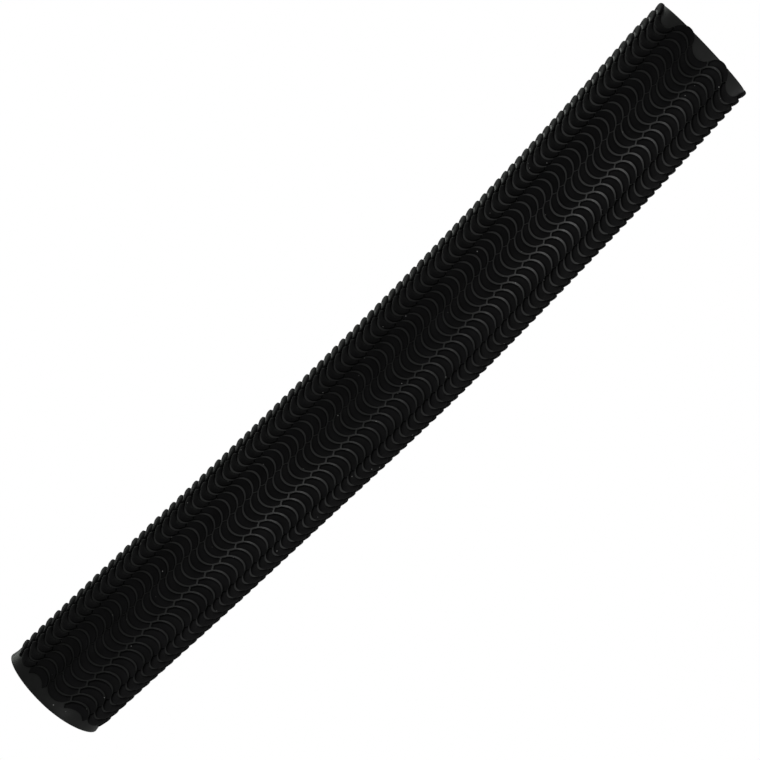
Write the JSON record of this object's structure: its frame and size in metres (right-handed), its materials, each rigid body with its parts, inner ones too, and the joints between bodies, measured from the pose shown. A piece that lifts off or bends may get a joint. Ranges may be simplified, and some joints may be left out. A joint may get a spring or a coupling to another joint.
{
  "type": "ribbed rubber handle sleeve",
  "caption": "Open-ended tapered black rubber sleeve with rows of raised crescent pads, pulled onto a cricket bat handle as its grip.",
  "frame": {"origin": "centre of the narrow end's rim, on the bore's axis", "axes": "+Z along the bore from the narrow end to the wide end; -Y towards the side with the first column of pads; +X completes the right-handed frame"},
  "size_m": [0.04, 0.04, 0.3],
  "materials": {
    "sleeve_rubber": "matte black moulded rubber, a little lighter in the grooves and plain bands",
    "pad_rubber": "matte black moulded rubber with a fine grain"
  },
  "bodies": {
    "root": {"base_sleeve": "sleeve_rubber", "pad_column_01": "pad_rubber", "pad_column_02": "pad_rubber", "pad_column_03": "pad_rubber", "pad_column_04": "pad_rubber", "pad_column_05": "pad_rubber", "pad_column_06": "pad_rubber", "pad_column_07": "pad_rubber", "pad_column_08": "pad_rubber", "pad_column_09": "pad_rubber", "pad_column_10": "pad_rubber", "pad_column_11": "pad_rubber", "pad_column_12": "pad_rubber"}
  },
  "joints": []
}
